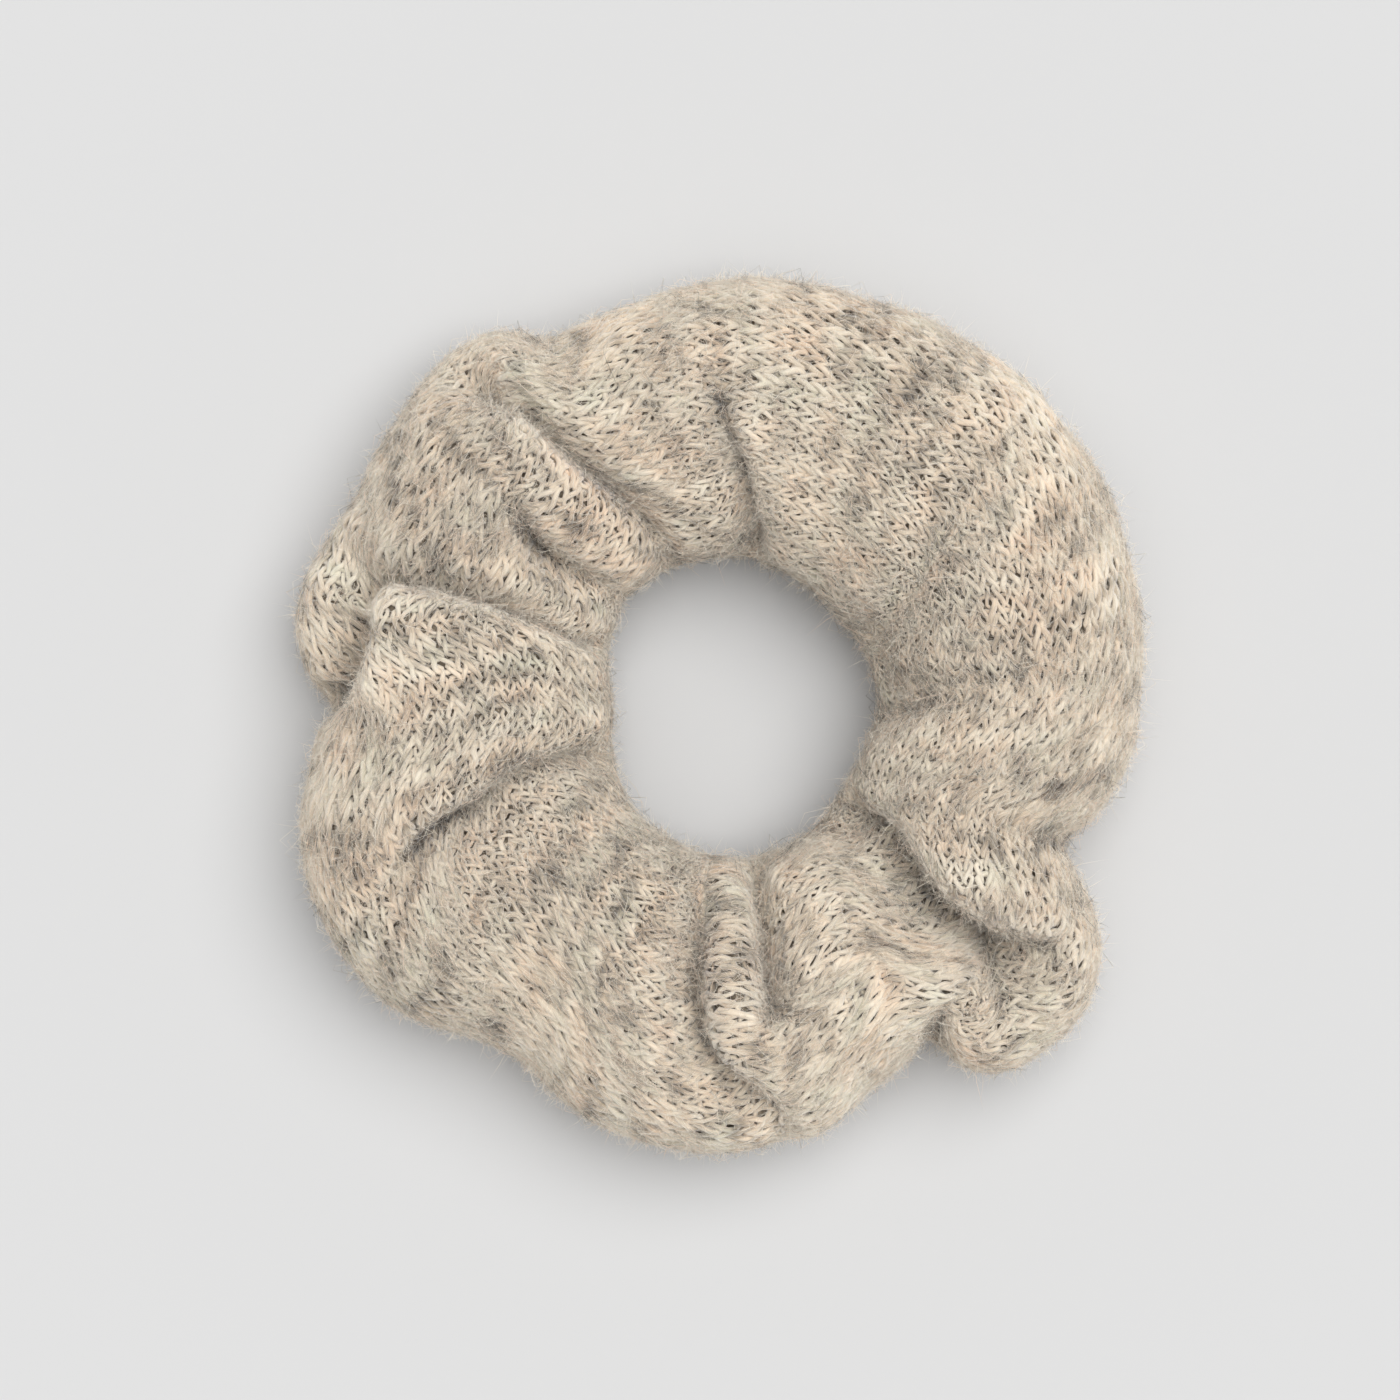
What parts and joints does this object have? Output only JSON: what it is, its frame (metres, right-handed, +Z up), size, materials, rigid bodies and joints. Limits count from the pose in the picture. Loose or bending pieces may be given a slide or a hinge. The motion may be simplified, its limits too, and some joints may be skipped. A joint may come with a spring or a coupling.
{
  "type": "scrunchie",
  "caption": "Gathered knitted hair scrunchie: a puffy marl fabric tube drawn up in soft folds on a hidden loop of flat elastic.",
  "frame": {"origin": "middle of the footprint, on the surface that the ring lies on", "axes": "+Z up through the ring's opening; +X and +Y across the ring, with the closing seam 65 degrees round from +X towards +Y"},
  "size_m": [0.1168, 0.1196, 0.0296],
  "materials": {
    "marl_knit": "brushed wool-blend knit, cream with grey-brown marl, matt and fuzzy",
    "braided_elastic": "flat braided rubber-core elastic, off-white",
    "sewing_thread": "spun polyester sewing thread, beige"
  },
  "bodies": {
    "root": {"knit_cover": "marl_knit", "elastic_band": "braided_elastic", "elastic_join_stitches": "sewing_thread", "cover_seam_thread": "sewing_thread", "closing_seam_thread": "sewing_thread"}
  },
  "joints": []
}
